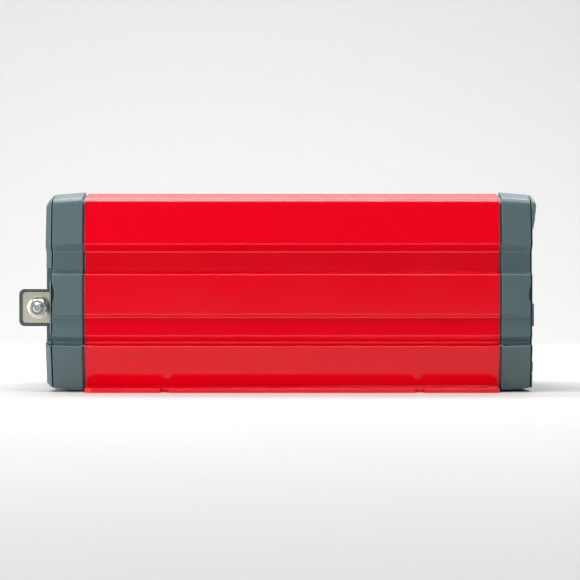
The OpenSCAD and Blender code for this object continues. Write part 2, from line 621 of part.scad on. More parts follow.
module outlet_contacts() color([0.8, 0.62, 0.25]) for (y = outlet_y, s = [-1, 1])
    translate([front_end, y, outlet_z + s * outlet_pitch / 2]) {
        for (blade_y = [-slot_spacing / 2 - 0.5, slot_spacing / 2 + 0.5])
            box([-15.8, blade_y - 0.3, 0], [-6, blade_y + 0.3, 5.4]);
        difference() {
            rod_x(-15.8, -8, 0, -9.3, 2.45);
            rod_x(-17, -7, 0, -9.3, 2.05);
        }
    }

// ---- controls --------------------------------------------------------------------------------
guard_out = panel_out - 0.1;
rocker_h = 18.6;
rocker_w = 25;
rocker_pivot_x = front_end + guard_out - 4;
rocker_r = 7.3;
rocker_angle = 10;
module switch_frame() color(black) difference() {
    translate([front_end, control_y, rocker_z]) union() {
        rounded_box([face_out, -rocker_w / 2, -rocker_h / 2], [guard_out, rocker_w / 2, rocker_h / 2], 1);
        box([-20, -11, -7.7], [face_out + 1, 11, 7.7]);
        for (c = [-1, 1]) box([-26, c * 6 - 0.4, -3], [-18, c * 6 + 0.4, 3]);
    }
    translate([front_end, control_y, rocker_z])
        box([guard_out - 12, -10.3, -7.6], [guard_out + 1, 10.3, 7.6]);
    rod_y(control_y - 10.95, control_y + 10.95, rocker_pivot_x, rocker_z, 1.25);
}
// Side view of the rocker: a disc about its pivot with two dished faces
module rocker_profile() intersection() {
    circle(rocker_r, $fn = 64);
    let (dish = 10 * tan(rocker_angle))
        polygon([[2, 0], [2 + dish, 10], [-5, 10], [-5, -10], [2 + dish, -10]]);
}
module power_rocker() color(black) translate([rocker_pivot_x, control_y, rocker_z])
    rotate([0, rocker_angle, 0]) {
    across_y(-10, 10) rocker_profile();
    rod_y(-10.8, 10.8, 0, 0, 1.2);
}
module breaker_body() color(black) difference() {
    translate([front_end, control_y, breaker_z]) union() {
        rod_x(-22, face_out, 0, 0, 5);
        rod_x(-24, -8, 0, 0, 7.4);
        translate([face_out, 0, 0]) rotate([0, 90, 0]) cylinder(0.9, 6.1, 6.1);
        translate([face_out + 0.9, 0, 0]) rotate([0, 90, 0]) cylinder(0.8, 6.1, 5.3);
    }
    rod_x(front_end - 8, front_end + 9, control_y, breaker_z, 3.8);
}
module breaker_button() color(black) {
    rod_x(front_end - 4.5, front_end + panel_out - 1, control_y, breaker_z, 3.5);
    translate([front_end + panel_out - 1, control_y, breaker_z]) rotate([0, 90, 0]) cylinder(0.6, 3.5, 2.9);
}
module mode_button() color(black) {
    rod_x(front_end - 2, front_end + face_out + 1.2, control_y, mode_z, 3.3);
    rod_x(front_end - 3.2, front_end - 1.6, control_y, mode_z, 4.6);
    rod_x(front_end - 6.9, front_end - 3, control_y, mode_z, 1.2);
}
switch_board_x = front_end - 13;
module switch_board() {
    color([0.06, 0.28, 0.13]) box([switch_board_x, control_y - 13, mode_z - 8.5],
        [switch_board_x + 1.6, control_y + 13, mode_z + 10]);
    color(black) box([switch_board_x + 1.6, control_y - 3, mode_z - 3],
        [switch_board_x + 4, control_y + 3, mode_z + 3]);
    color(black) rod_x(switch_board_x + 4, switch_board_x + 4.3, control_y, mode_z, 1.7);
}
port_h = 4.7;
usb_ports = [-4.9, 4.9];
module usb_module() color(black) difference() {
    translate([front_end, usb_y, usb_z]) union() {
        rounded_box([face_out, -9.4, -11.4], [face_out + 1.3, 9.4, 11.4], 1.5);
        box([-16, -8, -10], [face_out + 0.5, 8, 10]);
    }
    for (z = usb_ports) translate([front_end, usb_y, usb_z + z]) box([-13, -6.6, -3.2], [9, 6.6, 3.2]);
}
module usb_shells() {
    for (z = usb_ports) translate([front_end, usb_y, usb_z + z]) {
        color(steel) difference() {
            box([-12.8, -6.5, -3.1], [face_out + 0.6, 6.5, 3.1]);
            box([-12, -6.05, -port_h / 2 - 0.3], [9, 6.05, port_h / 2 + 0.3]);
        }
        color("white") box([-12.4, -5.4, 0.2], [face_out - 1.5, 5.4, 1.8]);
    }
}
module remote_port() color(black) difference() {
    translate([front_end, usb_y, remote_z]) union() {
        rounded_box([face_out, -8.9, -7.9], [face_out + 1.2, 8.9, 7.9], 1);
        box([-16, -7.5, -6.5], [face_out + 0.5, 7.5, 6.5]);
    }
    translate([front_end, usb_y, remote_z]) {
        box([-12, -5.2, -2.6], [9, 5.2, 4]);
        box([-12, -2.2, -4.4], [9, 2.2, -2.5]);
    }
}
visor_slope = atan((panel_out - visor_mid_out) / (visor_top_z - visor_mid_z));
visor_mid = visor_mid_out + (display_z - visor_mid_z) * tan(visor_slope);
module display_lens() color([0.04, 0.06, 0.07]) translate([front_end + visor_mid, 0, display_z])
    rotate([0, visor_slope, 0])
        box([-2, -display_w / 2 + 0.2, -display_h / 2 + 0.4],
            [-0.4, display_w / 2 - 0.2, display_h / 2 - 0.4]);
module display_board() {
    color([0.08, 0.25, 0.12])
        box([front_end - 6.6, -40, display_z - 9.7], [front_end - 5, 72, display_z + 9.7]);
    color([0.55, 0.6, 0.5]) box([front_end - 5, -29, display_z - 7], [front_end - 1.5, 29, display_z + 7]);
}
module status_lenses() color([0.5, 0.8, 0.5]) for (y = led_y) {
    rod_x(front_end - 4.9, front_end + visor_mid + 0.3, y, display_z, 1.7);
}

// ---- electronics -----------------------------------------------------------------------------
board_z = 11.4;
board_t = 1.6;
board_y = 74;
standoff_x = [-143, -45, 45, 143];
standoff_y = 55;
module insulating_sheet() color([0.75, 0.75, 0.7]) difference() {
    box([-146, -70, base_t], [146, 70, base_t + 0.5]);
    for (x = standoff_x, y = [-standoff_y, standoff_y]) translate([x, y, 0]) cylinder(9, 3.6, 3.6);
}
module board_standoffs() color([0.8, 0.65, 0.3]) for (x = standoff_x, y = [-standoff_y, standoff_y])
    translate([x, y, base_t]) difference() {
        cylinder(board_z - base_t, 3.2, 3.2, $fn = 6);
        translate([0, 0, -1]) cylinder(20, 1.4, 1.4);
    }
module board_screws() color(steel) for (x = standoff_x, y = [-standoff_y, standoff_y])
    translate([x, y, board_z - 4]) {
        cylinder(4 + board_t, 1.35, 1.35);
        translate([0, 0, 4 + board_t]) cylinder(1.8, 2.8, 2.2);
    }
module main_board() color([0.06, 0.28, 0.13]) difference() {
    box([-148, -board_y, board_z], [148, board_y, board_z + board_t]);
    for (x = standoff_x, y = [-standoff_y, standoff_y]) translate([x, y, board_z - 1]) cylinder(9, 1.5, 1.5);
}
board_top = board_z + board_t;
core_x = [-90, -42, 6];
core_y = [-26, 26];
module transformer_cores() color([0.16, 0.16, 0.17]) for (x = core_x, y = core_y)
    translate([x, y, board_top]) difference() {
        box([-20, -21, 4], [20, 21, 46]);
        for (c = [-1, 1]) box([-21, c * 11 - 5, 11], [21, c * 11 + 5, 39]);
    }
module transformer_windings() color([0.85, 0.7, 0.2]) for (x = core_x, y = core_y)
    translate([x, y, board_top]) difference() {
        union() {
            box([-24, -15.8, 11.2], [24, 15.8, 38.8]);
            box([-20, -14, eps], [20, 14, 4]);
        }
        box([-20.1, -6.1, 0], [20.1, 6.1, 50]);
        box([-20.1, -30, 4], [20.1, 30, 11.1]);
    }
module input_capacitors() color([0.1, 0.12, 0.2]) for (k = [0:5])
    translate([-130, -52.5 + k * 21, board_top]) difference() {
        cylinder(38, 9, 9);
        translate([0, 0, 37.4]) cylinder(2, 7, 7);
        translate([0, 0, 1.5]) rotate_extrude() translate([9.4, 2]) circle(0.9, $fn = 16);
    }
module bulk_capacitors() color([0.12, 0.1, 0.1]) for (x = [52, 82], y = [-30, 0, 30])
    translate([x, y, board_top]) difference() {
        cylinder(46, 13, 13);
        translate([0, 0, 45.2]) cylinder(2, 10.5, 10.5);
        translate([0, 0, 1.5]) rotate_extrude() translate([13.5, 2.5]) circle(1.1, $fn = 16);
    }
sink_y = [62, 70];
module heat_sinks() color([0.75, 0.76, 0.78]) both_sides() {
    box([-108, sink_y[0], board_top], [120, sink_y[0] + 3, 62]);
    for (z = [22:5:58]) box([-108, sink_y[0], z], [120, sink_y[1], z + 1.6]);
}
module power_transistors() color(black) both_sides() for (x = [-100:14:110])
    translate([x, sink_y[0], 0]) {
        box([-5, -4.6, 20], [5, -eps, 35]);
        for (p = [-2.5, 0, 2.5]) box([p - 0.4, -2.6, board_top], [p + 0.4, -2, 21]);
    }
choke_x = 122;
choke_y = -28;
module choke_core() color([0.55, 0.5, 0.15]) translate([choke_x, choke_y, 40]) rotate([0, 90, 0])
    translate([0, 0, -9]) difference() {
        cylinder(18, 25, 25);
        translate([0, 0, -1]) cylinder(20, 14, 14);
    }
module choke_winding() color(copper) for (a = [20:20:340]) translate([choke_x, choke_y, 40]) rotate([a, 0, 0])
    difference() {
        box([-10.8, -1.1, 12.2], [10.8, 1.1, 26.8]);
        box([-9.05, -2, 13.9], [9.05, 2, 25.05]);
    }
module blade_fuses() for (k = [0:5]) translate([-117.6, -52.5 + k * 21, board_top]) {
    color(black) box([-3, -8, 0], [3, 8, 6]);
    color("orange") box([-2, -7, 6], [2, 7, 15]);
}
module control_board() {
    color([0.07, 0.2, 0.35]) box([108, 8, board_top], [109.6, 56, 68]);
    color(black) for (y = [16, 32, 48], z = [26, 46]) box([109.6, y - 5, z - 5], [112, y + 5, z + 5]);
}

// ---- wiring ----------------------------------------------------------------------------------
// A round wire swept along a smooth curve through hand-picked points
wire_sides = 8;
function curve_point(p, i, t) = let (
    a = p[max(i - 1, 0)], b = p[i], c = p[i + 1], d = p[min(i + 2, len(p) - 1)]
) 0.5 * (2 * b + t * (c - a) + t * t * (2 * a - 5 * b + 4 * c - d) + t * t * t * (3 * b - a - 3 * c + d));
function curve(p, steps) = concat([for (i = [0:len(p) - 2], k = [0:steps - 1]) curve_point(p, i, k / steps)],
    [p[len(p) - 1]]);
function ring(c, dir, r) = let (
    side_v = unit(cross(dir, abs(dir.z) > 0.9 ? [1, 0, 0] : [0, 0, 1])), up_v = cross(side_v, dir)
) [for (k = [0:wire_sides - 1]) let (a = k * 360 / wire_sides) c + r * (cos(a) * side_v + sin(a) * up_v)];
module wire(points, r, steps = 4) {
    path = curve(points, steps);
    n = len(path);
    dirs = [for (i = [0:n - 1]) unit(path[min(i + 1, n - 1)] - path[max(i - 1, 0)])];
    rings = [for (i = [0:n - 1]) each ring(path[i], dirs[i], r)];
    s = wire_sides;
    polyhedron(rings, concat([[for (k = [0:s - 1]) k]], [[for (k = [s - 1:-1:0]) (n - 1) * s + k]],
        [for (i = [0:n - 2], k = [0:s - 1]) each [[i * s + k, (i + 1) * s + k, (i + 1) * s + (k + 1) % s],
            [i * s + k, (i + 1) * s + (k + 1) % s, i * s + (k + 1) % s]]]));
}
outlet_back = front_end - 22.4;
wire_drop_x = [136.5, 141, 145.5];
wire_y = [[-2, 22], [4, 28], [10, 34]];
module outlet_wires() for (i = [0, 1]) {
    y = outlet_y[i];
    color(black) wire([[outlet_back, y - 9, 72], [outlet_back - 12, y - 9, 70],
        [wire_drop_x[0], wire_y[0][i], 46], [wire_drop_x[0], wire_y[0][i], board_top + 0.4]], 1.6);
    color("white") wire([[outlet_back, y + 9, 72], [outlet_back - 12, y + 9, 70],
        [wire_drop_x[2], wire_y[2][i], 46], [wire_drop_x[2], wire_y[2][i], board_top + 0.4]], 1.6);
    color("green") wire([[outlet_back, y, 60], [outlet_back - 8, y, 58],
        [wire_drop_x[1], wire_y[1][i], 40], [wire_drop_x[1], wire_y[1][i], board_top + 0.4]], 1.6);
}
module fan_leads() color("red") for (s = [-1, 1]) wire([[fan_x[1] + 0.8, s * 42, 68],
    [fan_x[1] + 6, s * 42, 64], [fan_x[1] + 12, s * 40, 44], [-146, s * 34, 26],
    [-145, s * 30, board_top + 0.4]], 1.2);

upper_housing();
base_plate();
base_screws();
front_bezel();
front_fascia();
front_screws();
rear_bezel();
rear_panel();
rear_screws();
terminal_tray_negative();
terminal_tray_positive();
busbar_negative();
busbar_positive();
terminal_stud_negative();
terminal_stud_positive();
terminal_nut_negative();
terminal_nut_positive();
ground_stud();
ground_nut();
fan_frame_left();
fan_frame_right();
fan_stator_left();
fan_stator_right();
fan_rotor_left();
fan_rotor_right();
fan_guard_left();
fan_guard_right();
fan_screws();
outlet_near();
outlet_far();
outlet_contacts();
switch_frame();
power_rocker();
breaker_body();
breaker_button();
usb_module();
usb_shells();
remote_port();
display_lens();
display_board();
status_lenses();
mode_button();
switch_board();
main_board();
insulating_sheet();
board_standoffs();
board_screws();
control_board();
transformer_cores();
transformer_windings();
input_capacitors();
bulk_capacitors();
heat_sinks();
power_transistors();
choke_core();
choke_winding();
blade_fuses();
outlet_wires();
fan_leads();
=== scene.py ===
"""Looks of a DC to AC power inverter: an extruded red housing between two moulded grey end caps."""

import math

import bmesh
import bpy
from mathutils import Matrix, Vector


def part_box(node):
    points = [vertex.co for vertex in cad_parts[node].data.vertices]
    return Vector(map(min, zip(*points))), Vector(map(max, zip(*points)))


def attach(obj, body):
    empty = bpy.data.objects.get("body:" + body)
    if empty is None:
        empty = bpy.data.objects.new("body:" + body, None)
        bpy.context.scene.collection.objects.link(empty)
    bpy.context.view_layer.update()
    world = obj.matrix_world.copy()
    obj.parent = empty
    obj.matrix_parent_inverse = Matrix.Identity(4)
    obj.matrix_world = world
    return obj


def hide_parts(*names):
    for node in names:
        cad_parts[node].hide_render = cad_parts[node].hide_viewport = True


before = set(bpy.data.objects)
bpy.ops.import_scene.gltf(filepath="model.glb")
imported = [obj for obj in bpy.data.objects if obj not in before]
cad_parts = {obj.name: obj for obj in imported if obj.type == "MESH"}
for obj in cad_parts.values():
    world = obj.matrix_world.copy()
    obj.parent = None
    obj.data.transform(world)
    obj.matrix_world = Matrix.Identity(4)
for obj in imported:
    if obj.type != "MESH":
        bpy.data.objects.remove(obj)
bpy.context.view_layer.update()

MM = 0.001

# ---- Housing and base plate ------------------------------------------------------------------
# Two aluminium extrusions: an inverted U with stepped, fluted sides, and a flat base with two
# foot flanges. Both are powder coated in one semi-gloss red and baked, then slid together and
# screwed from below.


def linear(hex_code):
    """An sRGB hex colour as the linear RGBA that a shader takes."""
    shares = [int(hex_code[i:i + 2], 16) / 255 for i in (1, 3, 5)]
    return [s / 12.92 if s <= 0.04045 else ((s + 0.055) / 1.055) ** 2.4 for s in shares] + [1.0]


def add(tree, kind, sockets=None, **fields):
    """Adds one node, sets its fields, and fills its sockets with values or with other outputs."""
    made = tree.nodes.new(kind)
    for field, value in fields.items():
        setattr(made, field, value)
    for socket, value in (sockets or {}).items():
        if isinstance(value, bpy.types.NodeSocket):
            tree.links.new(value, made.inputs[socket])
        else:
            made.inputs[socket].default_value = value
    return made


blotch = 62.5                       # size in mm of the slow drift in gloss and in the strength of the painted edge highlight
edge_highlight_from, edge_highlight_full = 0.99, 0.8   # cosine of the turn at an edge where the painted highlight starts and is full


def finish(name, colour, shade, edge_highlight_colour, grain, relief, rough, edge, **uniform):
    """A real surface: its colour drifts to shade over the grain, and its edges take a paler colour, a
    painted highlight for the light that rounded edges catch, patchy along their length.

    grain is the pattern's size and relief its depth, both in mm; rough is the lowest and the
    highest roughness, and edge the radius in mm that every corner of the piece really has.
    """
    made = bpy.data.materials.new(name)
    made.use_nodes = True
    tree = made.node_tree
    tree.nodes.clear()
    place = add(tree, "ShaderNodeTexCoord").outputs["Object"]
    fine = add(tree, "ShaderNodeTexNoise", {"Vector": place, "Scale": 1 / (grain * MM), "Detail": 3.0,
                                            "Roughness": 0.6})
    broad = add(tree, "ShaderNodeTexNoise", {"Vector": place, "Scale": 1 / (blotch * MM), "Detail": 2.0})
    round_edge = add(tree, "ShaderNodeBevel", {"Radius": edge * MM}, samples=6)
    flat = add(tree, "ShaderNodeNewGeometry").outputs["Normal"]
    turn = add(tree, "ShaderNodeVectorMath", {0: round_edge.outputs["Normal"], 1: flat},
               operation="DOT_PRODUCT")
    rim = add(tree, "ShaderNodeMapRange", {"Value": turn.outputs["Value"], "From Min": edge_highlight_from,
                                           "From Max": edge_highlight_full, "To Min": 0.0, "To Max": 1.0})
    # Edges take the paler colour: a painted highlight, patchy along the edge
    painted_edge_highlight = add(tree, "ShaderNodeMath", {0: rim.outputs["Result"], 1: broad.outputs["Fac"]},
                 operation="MULTIPLY")
    drift = add(tree, "ShaderNodeMix", {"Factor": fine.outputs["Fac"], "A": linear(colour),
                                        "B": linear(shade)}, data_type="RGBA")
    tint = add(tree, "ShaderNodeMix", {"Factor": painted_edge_highlight.outputs["Value"], "A": drift.outputs["Result"],
                                       "B": linear(edge_highlight_colour)}, data_type="RGBA")
    gloss = add(tree, "ShaderNodeMapRange", {"Value": broad.outputs["Fac"], "From Min": 0.3,
                                             "From Max": 0.7, "To Min": rough[0], "To Max": rough[1]})
    skin = add(tree, "ShaderNodeBump", {"Height": fine.outputs["Fac"], "Distance": relief * MM,
                                        "Strength": 1.0, "Normal": round_edge.outputs["Normal"]})
    shader = add(tree, "ShaderNodeBsdfPrincipled", {"Base Color": tint.outputs["Result"],
                                                    "Roughness": gloss.outputs["Result"],
                                                    "Normal": skin.outputs["Normal"], **uniform})
    add(tree, "ShaderNodeOutputMaterial", {"Surface": shader.outputs["BSDF"]})
    return made


def dress(material, *nodes):
    """Puts a material in every slot of the CAD nodes named."""
    for name in nodes:
        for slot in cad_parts[name].material_slots:
            slot.material = material


# Polyester powder coat, sprayed and baked: the eye sees one strong red with a faint orange peel
# about 1.6 mm across, a soft sheen, and slightly paler corners, a painted highlight for the light the
# rounded edges catch.
powder_coat_red = finish("powder_coat_red", "#EC001F", "#E40019", "#F6423F",
                         grain=1.6, relief=0.003, rough=(0.12, 0.16), edge=0.6, IOR=1.5)
dress(powder_coat_red, "upper_housing", "base_plate")

# ---- End caps and panels ---------------------------------------------------------------------
# Four ABS mouldings: a tapered ring over each end of the housing, and a panel let into each
# ring, held by screws.

# Spark-textured ABS: the fine grain of the mould shows as a satin skin, drawn at 0.7 mm, since
# the real grain of about 0.1 mm is too fine to show. Corners are paler: a painted highlight for the
# light the edges catch.
moulded_abs_slate = finish("moulded_abs_slate", "#586C6F", "#516568", "#8FA3A5",
                           grain=0.7, relief=0.010, rough=(0.34, 0.42), edge=0.6, IOR=1.5)
dress(moulded_abs_slate, "front_bezel", "rear_bezel", "front_fascia", "rear_panel")

# ---- End, base, fan and board screws ---------------------------------------------------------
# Cross-recess machine screws. Those through the caps and the fans are black oxide, those
# through the base and the boards are zinc plated.

# Black oxide on steel: a dark, oily and slightly mottled skin, with a paler colour painted on its edges
# as highlight.
black_oxide_steel = finish("black_oxide_steel", "#2B2C2E", "#1E1F20", "#6F7072",
                           grain=0.5, relief=0.004, rough=(0.35, 0.5), edge=0.2, Metallic=1.0)
dress(black_oxide_steel, "front_screws", "rear_screws", "fan_screws")

# Bright zinc on steel: a cool, slightly clouded grey with soft reflections.
zinc_plated_steel = finish("zinc_plated_steel", "#BFC2C2", "#A9ACAD", "#DADCDC",
                           grain=0.4, relief=0.003, rough=(0.24, 0.36), edge=0.2, Metallic=1.0)
dress(zinc_plated_steel, "base_screws", "board_screws")

# ---- DC terminals ----------------------------------------------------------------------------
# Each terminal is a copper bar in an insulating tray, with an M8 stud through both and a
# flange nut on the stud.

# Glass-filled nylon, moulded: a dull slate with a coarser, drier skin than the caps'.
glass_filled_nylon = finish("glass_filled_nylon", "#4B5A5B", "#414F50", "#7B8988",
                            grain=0.5, relief=0.012, rough=(0.36, 0.46), edge=0.6, IOR=1.53)
dress(glass_filled_nylon, "terminal_tray_negative", "terminal_tray_positive")

# Dull nickel over rolled copper: a warm, pale and matt grey without clear reflections.
nickel_plated_copper = finish("nickel_plated_copper", "#E8E6D2", "#DCDAC6", "#F2F0E4",
                              grain=0.9, relief=0.010, rough=(0.42, 0.52), edge=0.4, Metallic=1.0)
dress(nickel_plated_copper, "busbar_negative", "busbar_positive")

# Bright nickel plate on turned or drawn steel: a warm silver that still blurs what it reflects.
bright_nickel_plate = finish("bright_nickel_plate", "#E2DED2", "#D8D4C7", "#F4F1EA",
                             grain=0.6, relief=0.002, rough=(0.30, 0.38), edge=0.35, Metallic=1.0)
dress(bright_nickel_plate, "terminal_nut_negative", "terminal_nut_positive", "fan_guard_left",
      "fan_guard_right", "usb_shells")

# ---- Terminal studs and earth stud -----------------------------------------------------------
# Two M8 studs with round heads behind the terminal bars, and one M6 stud with a collar behind
# the rear panel. All are zinc-plated steel with rolled threads, fixed in the case.

shoulder = 0.01         # mm along a rod in which its radius steps, so that no two rings coincide


def threaded_rod(name, metal, foot, axis, profile, thread, replaced):
    """Turns a rod from a list of (distance, radius) along axis, with a real thread cut in it.

    thread is where the thread starts and ends along the rod, its pitch and its depth, in mm.
    """
    sides, rings_a_turn = 40, 8
    start, stop, pitch, depth = thread
    rings = []
    for (d0, r0), (d1, r1) in zip(profile, profile[1:]):
        threaded = d0 >= start and d1 <= stop
        steps = max(1, round((d1 - d0) / (pitch / rings_a_turn))) if threaded else 1
        rings += [(d0 + (d1 - d0) * k / steps, r0 + (r1 - r0) * k / steps) for k in range(steps)]
    rings.append(profile[-1])
    shell = bmesh.new()
    turn = Vector((0, 0, 1)).rotation_difference(Vector(axis)).to_matrix().to_4x4()
    loops = []
    for d, r in rings:
        loop = []
        for k in range(sides):
            share = (d / pitch - k / sides) % 1.0
            cut = depth * abs(2 * share - 1) if start <= d <= stop else 0.0
            angle = 2 * math.pi * k / sides
            spot = Vector(((r - cut) * math.cos(angle), (r - cut) * math.sin(angle), d)) * MM
            loop.append(shell.verts.new(turn @ spot + Vector(foot) * MM))
        loops.append(loop)
    for low, high in zip(loops, loops[1:]):
        for k in range(sides):
            shell.faces.new((low[k], low[(k + 1) % sides], high[(k + 1) % sides], high[k]))
    shell.faces.new(list(reversed(loops[0])))
    shell.faces.new(loops[-1])
    mesh = bpy.data.meshes.new(name)
    shell.to_mesh(mesh)
    shell.free()
    piece = bpy.data.objects.new(name, mesh)
    bpy.context.scene.collection.objects.link(piece)
    piece.data.materials.append(metal)
    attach(piece, "case")
    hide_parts(replaced)
    return piece


# Zinc on a rolled thread: a bluish silver, brighter than the nut, with a paler colour painted on the
# crests as highlight.
zinc_plated_thread = finish("zinc_plated_thread", "#DDE5EA", "#CDD6DC", "#F2F6F8",
                            grain=0.5, relief=0.002, rough=(0.32, 0.40), edge=0.15, Metallic=1.0)

m8_r, m8_pitch, m8_depth = 4.0, 1.25, 0.6
head_r, head_thick, head_chamfer = 5.4, 3.6, 0.5
plain_to = 8.4                      # the thread starts beyond the tray and the bar
m8_tip, m8_tip_r = 1.2, 2.8
low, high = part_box("terminal_stud_positive")
stud_length = (high.y - low.y) / MM
stud_profile = [(0, head_r - head_chamfer), (head_chamfer, head_r), (head_thick, head_r),
                (head_thick + shoulder, m8_r), (plain_to, m8_r), (stud_length - m8_tip, m8_r),
                (stud_length, m8_tip_r)]
stud_thread = (plain_to, stud_length - m8_tip, m8_pitch, m8_depth)
for side, sign in (("negative", -1), ("positive", 1)):
    low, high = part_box(f"terminal_stud_{side}")
    stud_x, stud_z = (low.x + high.x) / 2 / MM, (low.z + high.z) / 2 / MM
    foot_y = (low.y if sign > 0 else high.y) / MM
    threaded_rod(f"stud_{side}", zinc_plated_thread, (stud_x, foot_y, stud_z), (0, sign, 0),
                 stud_profile, stud_thread, f"terminal_stud_{side}")

m6_r, m6_pitch, m6_depth = 3.0, 1.0, 0.5
collar_r, collar_thick = 6.0, 3
m6_tip, m6_tip_r = 0.8, 2.3
low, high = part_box("ground_stud")
ground_length = (high.x - low.x) / MM
ground_profile = [(0, collar_r), (collar_thick, collar_r), (collar_thick + shoulder, m6_r),
                  (ground_length - m6_tip, m6_r), (ground_length, m6_tip_r)]
ground_thread = (collar_thick + shoulder, ground_length - m6_tip, m6_pitch, m6_depth)
threaded_rod("stud_ground", zinc_plated_thread, (high.x / MM, 0, (low.z + high.z) / 2 / MM),
             (-1, 0, 0), ground_profile, ground_thread, "ground_stud")

# Turned brass: a clean yellow metal with soft highlights, a little browner in the tool marks.
turned_brass = finish("turned_brass", "#D8B25E", "#C79F4C", "#EBD08C",
                      grain=0.6, relief=0.003, rough=(0.22, 0.32), edge=0.2, Metallic=1.0)
dress(turned_brass, "ground_nut", "outlet_contacts", "board_standoffs")

# ---- Fans ------------------------------------------------------------------------------------
# Two 80 mm axial fans screwed behind wire guards: moulded frames and rotors, and a stator
# wound with copper wire inside each hub.

# Moulded PBT: a neutral black with a dry satin skin, so that the blades read against the bore.
moulded_pbt_black = finish("moulded_pbt_black", "#202123", "#18191A", "#4A4B4D",
                           grain=0.6, relief=0.008, rough=(0.36, 0.46), edge=0.3, IOR=1.55)
dress(moulded_pbt_black, "fan_frame_left", "fan_frame_right", "fan_rotor_left", "fan_rotor_right")

# Enamelled copper wire, wound: a dark orange metal, ribbed by its turns half a millimetre apart.
enamelled_copper_wire = finish("enamelled_copper_wire", "#B5642E", "#8F481C", "#D58A52",
                               grain=0.5, relief=0.060, rough=(0.24, 0.34), edge=0.2, Metallic=1.0)
dress(enamelled_copper_wire, "fan_stator_left", "fan_stator_right", "choke_winding")

# ---- AC outlets and controls -----------------------------------------------------------------
# Nylon fittings clipped into the front panel: two duplex outlets, a rocker switch in its
# frame, a resettable breaker, a key, two USB ports and a remote socket.

# Moulded nylon in black: nearly black with a clean satin sheen and grey corners, a painted edge
# highlight.
moulded_nylon_black = finish("moulded_nylon_black", "#2A2C2E", "#232527", "#5A5D5F",
                             grain=0.6, relief=0.006, rough=(0.26, 0.36), edge=0.4, IOR=1.53)
dress(moulded_nylon_black, "outlet_near", "outlet_far", "power_rocker", "breaker_body",
      "breaker_button", "mode_button", "usb_module", "remote_port")

# Moulded nylon in slate: the same skin in the colour of the caps, a shade darker.
moulded_nylon_slate = finish("moulded_nylon_slate", "#5C6769", "#535D5F", "#889294",
                             grain=0.6, relief=0.006, rough=(0.30, 0.40), edge=0.4, IOR=1.53)
dress(moulded_nylon_slate, "switch_frame")

# ---- Display and status lamps ----------------------------------------------------------------
# A flat acrylic window over the display, glued from behind, and three small round light pipes
# beside it.

# Smoked acrylic, cast and polished: all but black, with one clear and sharp reflection.
smoked_acrylic = finish("smoked_acrylic", "#0C1012", "#090C0E", "#3A4144",
                        grain=2.0, relief=0.001, rough=(0.05, 0.09), edge=0.3, IOR=1.49)
dress(smoked_acrylic, "display_lens")

# Green acrylic, moulded: a milky pale green with a wet gloss, as it looks with the lamp off.
tinted_acrylic_green = finish("tinted_acrylic_green", "#8FC79A", "#7DBB8A", "#C4E6CB",
                              grain=1.0, relief=0.002, rough=(0.10, 0.18), edge=0.2, IOR=1.49)
dress(tinted_acrylic_green, "status_lenses")

# ---- Circuit boards --------------------------------------------------------------------------
# Glass-epoxy boards on brass standoffs, with printed solder mask, over a sheet that insulates
# the main one from the base.

# Green solder mask, screened and cured: a deep glossy green, a little uneven over the tracks.
solder_mask_green = finish("solder_mask_green", "#0F5A2C", "#0B4A23", "#3C8A58",
                           grain=1.8, relief=0.020, rough=(0.22, 0.34), edge=0.2, IOR=1.5)
dress(solder_mask_green, "main_board", "display_board", "switch_board")

# Blue solder mask: the same skin, which sets the control board apart.
solder_mask_blue = finish("solder_mask_blue", "#123E7A", "#0E3267", "#3D68A4",
                          grain=1.8, relief=0.020, rough=(0.22, 0.34), edge=0.2, IOR=1.5)
dress(solder_mask_blue, "control_board")

# Polyester film, rolled: a smooth, faintly wavy off-white.
polyester_film = finish("polyester_film", "#D8D8CE", "#CFCFC4", "#E8E8E0",
                        grain=4.0, relief=0.004, rough=(0.24, 0.36), edge=0.2, IOR=1.6)
dress(polyester_film, "insulating_sheet")

# ---- Transformers and choke ------------------------------------------------------------------
# Ferrite cores clamped round taped windings, and one toroidal choke of coated iron powder.

# Pressed and fired ferrite: a charcoal ceramic, grainy and almost without sheen.
pressed_ferrite = finish("pressed_ferrite", "#2C2C30", "#232327", "#4A4A4F",
                         grain=0.5, relief=0.030, rough=(0.55, 0.7), edge=0.4, IOR=1.6)
dress(pressed_ferrite, "transformer_cores")

# Polyester tape over wire: a strong yellow, smooth, with broad ripples from the turns below.
yellow_polyester_tape = finish("yellow_polyester_tape", "#DDB21E", "#CFA416", "#ECCB58",
                               grain=5.0, relief=0.020, rough=(0.28, 0.4), edge=0.4, IOR=1.5)
dress(yellow_polyester_tape, "transformer_windings")

# Epoxy-coated iron powder: a dull olive yellow with a finely pitted skin.
coated_iron_powder = finish("coated_iron_powder", "#8E8A2A", "#7F7B22", "#B4B05A",
                            grain=0.6, relief=0.020, rough=(0.4, 0.52), edge=0.4, IOR=1.5)
dress(coated_iron_powder, "choke_core")

# ---- Capacitors, fuses and transistors -------------------------------------------------------
# Parts soldered to the main board: two rows of capacitors in shrunk sleeves, blade fuses, and
# transistors clipped to two finned heat sinks.

# Shrunk PVC sleeve in blue: a dark blue with a tight, slightly rippled gloss.
capacitor_sleeve_blue = finish("capacitor_sleeve_blue", "#1C2A5C", "#17234E", "#43528A",
                               grain=1.2, relief=0.008, rough=(0.24, 0.34), edge=0.5, IOR=1.5)
dress(capacitor_sleeve_blue, "input_capacitors")

# Shrunk PVC sleeve in black: the same skin on the high-voltage side.
capacitor_sleeve_black = finish("capacitor_sleeve_black", "#1F1D1E", "#181617", "#464344",
                                grain=1.2, relief=0.008, rough=(0.24, 0.34), edge=0.5, IOR=1.5)
dress(capacitor_sleeve_black, "bulk_capacitors")

# Extruded aluminium without a coat: a pale grey metal, its die lines blurred to a soft grain.
mill_finish_aluminium = finish("mill_finish_aluminium", "#C3C6C9", "#B2B6B9", "#DDDFE1",
                               grain=0.8, relief=0.010, rough=(0.34, 0.46), edge=0.2, Metallic=1.0)
dress(mill_finish_aluminium, "heat_sinks")

